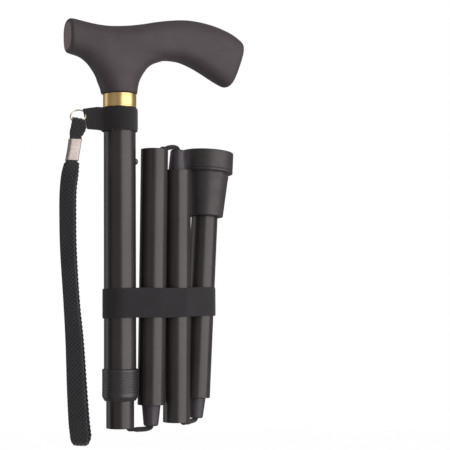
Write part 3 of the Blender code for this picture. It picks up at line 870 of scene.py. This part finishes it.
STRAP = (
    # drop below the strap's pivot, outward reach, half gap between layers, width, twist in degrees
    (0.0, -2.0, 1.9, 9.8, -60),
    (2.8, -1.7, 2.1, 10.7, -65),
    (7.0, -0.5, 1.6, 10.0, -73),
    (10.8, 0.6, 0.95, 8.0, -79),
    (19.0, 2.0, 0.95, 7.8, -80),
    (26.4, 3.4, 0.95, 8.0, -77),
    (28.6, 3.6, 1.1, 10.6, -70),
    (31.5, 4.1, 1.3, 11.2, -62),
    (36.0, 4.8, 1.4, 11.6, -54),
    (46.0, 6.0, 1.5, 11.3, -45),
    (60.0, 6.3, 1.6, 11.2, -42),
    (86.0, 5.8, 1.7, 10.9, -43),
    (120.0, 3.5, 1.9, 10.6, -45),
    (147.0, 1.2, 2.2, 11.7, -46),
    (177.0, -0.5, 2.6, 12.7, -46),
    (200.0, -2.1, 3.1, 13.1, -46),
    (209.6, -3.3, 3.4, 13.0, -46),
)
STRAND = 2.9           # pitch of the braid


def strap_station(drop, reach, offset, twist):
    """A point of the strap, its width direction and its face direction; the head leans to one side."""
    a = math.radians(twist)
    lean = 0.22 * ease(drop, 10.0, -10.0)
    wide = np.array([math.sin(a), math.cos(a), -lean])
    normal = np.array([math.cos(a), -math.sin(a), 0.0])
    return np.array([reach, 0.0, -drop]) + normal * offset, wide, normal


def strap_loop():
    """Centre line, width direction, face direction and width, once round the whole loop."""
    table = smooth_table(STRAP, 120)
    foot = 6.0         # how far the loop's foot hangs below the table
    rows = []
    for drop, reach, gap, wide, twist in table:
        at, across, normal = strap_station(drop, reach, gap, twist)
        rows.append((at, across, normal, wide))
    drop, reach, gap, wide, twist = table[-1]
    for i in range(1, 12):
        a = math.pi * i / 12
        at, across, normal = strap_station(drop + foot * math.sin(a), reach, gap * math.cos(a), twist)
        rows.append((at, across, normal * math.cos(a) + np.array([0, 0, -1.0]) * math.sin(a),
                     wide * (1 - 0.22 * math.sin(a) ** 2)))
    for drop, reach, gap, wide, twist in table[::-1]:
        at, across, normal = strap_station(drop, reach, -gap, twist)
        rows.append((at, across, -normal, wide))
    drop, reach, gap, wide, twist = table[0]
    for i in range(1, 10):
        a = math.pi * i / 10
        at, across, normal = strap_station(drop - gap * math.sin(a), reach, -gap * math.cos(a), twist)
        rows.append((at, across, -normal * math.cos(a) + np.array([0, 0, 1.0]) * math.sin(a), wide))
    return rows


def make_strap():
    """Flat braid: strands crossing in diamonds, with one edge scalloped more than the other."""
    ring_step = 0.36
    rows = strap_loop()
    rows.append(rows[0])
    run = run_along(np.array([row[0] for row in rows]))
    total = run[-1]
    pitch = total / round(total / STRAND)
    at = np.linspace(0, total, int(total / ring_step), endpoint=False)
    columns = [resampled(at, run, [row[k] for row in rows]) for k in range(3)]
    widths = np.interp(at, run, [row[3] for row in rows])
    rings = []
    groove_shade = []
    for s, p, across, normal, wide in zip(at, *columns, widths):
        across = unit(across)
        normal = unit(normal)
        u = s / pitch
        ring = []
        for a in angles(72):
            c = math.copysign(abs(math.cos(a)) ** 0.75, math.cos(a))
            n = math.copysign(abs(math.sin(a)) ** 0.6, math.sin(a))
            v = c * wide / 2 / STRAND
            left = abs(math.sin(math.pi * (u + v)))
            right = abs(math.sin(math.pi * (u - v + (0.5 if n < 0 else 0.0))))
            pillow = (left * right) ** 0.5
            groove_shade.append(pillow)
            lump = 0.55 * (pillow - 0.6)
            tooth = 0.5 if c > 0 else 0.1
            w = wide / 2 - 0.25 + tooth * (abs(math.cos(math.pi * u)) - 0.5)
            ring.append(p + across * c * w + normal * n * (1.0 + lump))
        rings.append(ring)
    verts, faces = skin(rings, True)
    ob = piece("strap_braid", verts, faces, LOOKS["braid"], "strap", swivel_frame("strap_swing"),
               ("wrist_strap",), 75.0)
    # height of the braid per point, which its look turns into painted shade in the grooves between strands
    # and a painted lift on their crowns
    height = ob.data.attributes.new("groove_shade", "FLOAT", "POINT")
    height.data.foreach_set("value", groove_shade)


def make_crimp():
    """Pressed sleeve round both layers of the strap: rounded box section with rolled lips."""
    table = smooth_table(STRAP, 120)
    box = super_ring(72, 5.0)
    wide = 4.2
    thick = 2.6
    wall = 0.4
    outer = []
    inner = []
    lips = ((11.6, 0.0), (11.85, 0.22), (12.5, 0.08), (19.0, 0.0), (25.5, 0.08), (26.15, 0.22), (26.4, 0.0))
    for drop, lip in lips:
        reach = np.interp(drop, table[:, 0], table[:, 1])
        twist = np.interp(drop, table[:, 0], table[:, 4])
        at, across, normal = strap_station(drop, reach, 0.0, twist)
        outer.append([at + across * c * (wide + lip) + normal * s * (thick + lip) for c, s in box])
        inner.append([at + across * c * (wide - wall) + normal * s * (thick - wall) for c, s in box])
    verts, faces = skin(outer + inner[::-1], True)
    piece("crimp_sleeve", verts, faces, LOOKS["crimp"], "strap", swivel_frame("strap_swing"),
          ("strap_crimp",), 50.0)


# ------------------------------------------------------------------ band
def band_circles():
    """Centre and radius of what the band presses on, for each of the four tubes, at its own height."""
    middle = (BAND_LOW + BAND_HIGH) / 2
    circles = [(np.array([0.0, 0.0]), OUTER_R + 0.15)]
    for letter in "abc":
        m = SHAFT.inverted() @ tube_frame(letter)
        p = m.translation / MM
        d = m.to_3x3() @ Vector((0, 0, 1))
        p = p + d * ((middle - p.z) / d.z)
        circles.append((np.array([p.x, p.y]), TUBE_R + 0.25))
    return circles


def band_path(circles):
    """Distances along the band and its middle line there, from the circle furthest out each way."""
    outline = []
    for a in angles(1440):
        n = np.array([math.cos(a), math.sin(a)])
        centre, r = max(circles, key=lambda circle: circle[0] @ n + circle[1])
        outline.append(centre + n * (r + 0.45))
    closed = np.array(outline + outline[:1])
    run = run_along(closed)
    at = np.linspace(0, run[-1], int(run[-1] / 0.8), endpoint=False)
    return at, resampled(at, run, closed)


def make_band():
    """Flat elastic webbing stretched round the four tubes, ribbed along its length and a little wavy."""
    half_thick = 0.42
    ribs = 15
    weft_pitch = 2.4
    circles = band_circles()
    at, path = band_path(circles)
    rings = []
    for k in range(len(path)):
        ahead = unit(path[(k + 1) % len(path)] - path[k - 1])
        out = np.array([ahead[1], -ahead[0]])
        sag = 0.25 * math.sin(at[k] * 0.11) + 0.15 * math.sin(at[k] * 0.037 + 1.0)
        ring = []
        for side, v in strip_section(62):
            edge = 1 - abs(2 * v - 1) ** 16
            rib = 0.07 * math.cos(v * 2 * math.pi * ribs) * edge
            half = half_thick * (0.35 + 0.65 * edge) + rib
            weft = 0.03 * math.sin(at[k] * 2 * math.pi / weft_pitch + math.pi * int(v * 2 * ribs)) * edge
            p = path[k] + out * side * (half + weft)
            ring.append((p[0], p[1], BAND_LOW + sag + (BAND_HIGH - BAND_LOW) * v))
        rings.append(ring)
    verts, faces = skin(rings, True)
    ob = piece("band_webbing", verts, faces, LOOKS["band"], "band", SHAFT,
               ("folding_band",), 60.0)
    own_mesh(ob)


# ------------------------------------------------------------------ carried-over nodes
def dress_hidden():
    """CAD solids kept as they are inside the tubes, each with its own material."""
    looks = {
        "handle_stem": "steel", "lock_collet": "plastic", "glide_bush": "plastic", "button_spring": "steel",
        "cord_anchor_top": "plastic", "cord_upper": "cord", "cord_2": "cord", "cord_3": "cord",
        "cord_4": "cord", "cord_anchor_tip": "plastic", "tip_washer": "steel",
    }
    for name, look in looks.items():
        ob = frame["nodes"][name]
        ob.data.materials.clear()
        ob.data.materials.append(LOOKS[look])


# ------------------------------------------------------------------ stage, in metres
YAW = math.radians(-25.0)
RIGHT = Vector((math.cos(YAW), math.sin(YAW), 0))
FRONT = Vector((math.sin(YAW), -math.cos(YAW), 0))    # towards the camera
UP = Vector((0, 0, 1))
LIGHTS = (
    # name, place to the right, front and up, size, watts, colour
    ("key", (1.08, 0.73, 0.1), (2.0, 2.0), 23.8, (1.0, 0.95, 0.955)),
    ("fill", (-0.8, 1.15, 0.1), (1.0, 1.6), 0.6, (1, 1, 1)),
    ("rim_left", (-1.2, -0.25, 0.1), (0.5, 1.6), 2.0, (1, 1, 1)),
    ("top", (0.0, 0.2, 1.6), (1.4, 1.4), 2.4, (1, 1, 1)),
)


def place_stage(ob, where, aim, roll=0.0):
    """Puts a light or camera in the scene, looking at a point."""
    bpy.context.scene.collection.objects.link(ob)
    ob.location = where
    ob.rotation_mode = "QUATERNION"
    turn = (aim - Vector(where)).to_track_quat("-Z", "Y")
    ob.rotation_quaternion = turn @ Quaternion((0, 0, 1), math.radians(roll))


def make_lights():
    """Large soft key from the right, with a faint fill, a rim and a top light."""
    centre = SHAFT @ Vector((0.02, 0, 0.15))
    for name, (right, front, up), size, power, colour in LIGHTS:
        data = bpy.data.lights.new(name, "AREA")
        data.shape = "RECTANGLE"
        data.size = size[0]
        data.size_y = size[1]
        data.energy = power
        data.color = colour
        where = centre + RIGHT * right + FRONT * front + UP * up
        place_stage(bpy.data.objects.new(name, data), where, centre)


def make_floor():
    """White to the camera and dim to the scene, level with the tip of the opened cane."""
    me = bpy.data.meshes.new("floor")
    bm = bmesh.new()
    bmesh.ops.create_circle(bm, cap_ends=True, radius=6.0, segments=64)
    bm.to_mesh(me)
    bm.free()
    ob = bpy.data.objects.new("floor", me)
    bpy.context.scene.collection.objects.link(ob)
    ob.location = (0, 0, FLOOR_Z)
    n = Nodes("floor_look")
    tone = n.ramp(n.noise(3.0, 2.0), 0, 1)
    n.wire(Base_Color=n.mix(tone, (0.10, 0.10, 0.10), (0.11, 0.11, 0.11)))
    n.wire(Emission_Color=n.mix(tone, (0.99, 0.99, 0.99), (1.0, 1.0, 1.0)))
    path = n.node("ShaderNodeLightPath")
    n.wire(Emission_Strength=n.ramp(path.outputs["Is Camera Ray"], 0.22, 0.97, 0.0, 1.0))
    n.set(Roughness=0.9, Specular_IOR_Level=0.1)
    me.materials.append(n.mat)


def make_world():
    """White behind the object, and a weak warm light from all round."""
    world = bpy.data.worlds.new("studio")
    world.use_nodes = True
    tree = world.node_tree
    seen = tree.nodes["Background"]
    seen.inputs["Color"].default_value = (1, 1, 1, 1)
    seen.inputs["Strength"].default_value = 1.0
    light = tree.nodes.new("ShaderNodeBackground")
    light.inputs["Color"].default_value = (1, 0.97, 0.96, 1)
    light.inputs["Strength"].default_value = 0.20
    path = tree.nodes.new("ShaderNodeLightPath")
    mix = tree.nodes.new("ShaderNodeMixShader")
    tree.links.new(path.outputs["Is Camera Ray"], mix.inputs[0])
    tree.links.new(light.outputs[0], mix.inputs[1])
    tree.links.new(seen.outputs[0], mix.inputs[2])
    tree.links.new(mix.outputs[0], tree.nodes["World Output"].inputs[0])
    bpy.context.scene.world = world


def make_camera():
    """At the height of the folding band, with the shaft left of the picture's middle."""
    distance = 0.80
    eye = 0.0915       # the camera over the shaft frame's origin
    left = 0.072123    # the shaft's axis from the picture's middle
    middle = 0.138973  # the picture's middle over the shaft frame's origin
    data = bpy.data.cameras.new("camera")
    data.sensor_width = 36.0
    data.lens = 93.44
    data.clip_start = 0.01
    data.clip_end = 50.0
    ob = bpy.data.objects.new("camera", data)
    foot = SHAFT.translation + RIGHT * left
    place_stage(ob, foot + FRONT * distance + UP * eye, foot + UP * middle, -0.4)
    bpy.context.scene.camera = ob


def main():
    make_handle()
    make_end_cap()
    make_collar()
    make_outer_tube()
    make_lock_ring()
    make_inner_tube()
    make_button()
    make_section(2, "a", "section_2")
    make_section(3, "b", "section_3")
    make_section(4, "c", "section_4")
    upside_down = SHAFT @ Matrix.Rotation(math.pi, 4, "X")
    make_socket("a", upside_down, -INNER_LOW, "inner_shaft")
    make_socket("b", tube_frame("a"), END_OUT + LONG["a"], "section_2")
    make_socket("c", tube_frame("b"), END_OUT + LONG["b"], "section_3")
    make_bend("a", "inner_shaft")
    make_bend("b", "section_2")
    make_bend("c", "section_3")
    make_tip()
    make_holder()
    make_split_ring()
    make_strap()
    make_crimp()
    make_band()
    dress_hidden()
    make_floor()
    make_world()
    make_lights()
    make_camera()
    bpy.context.scene.view_settings.view_transform = "Standard"


main()
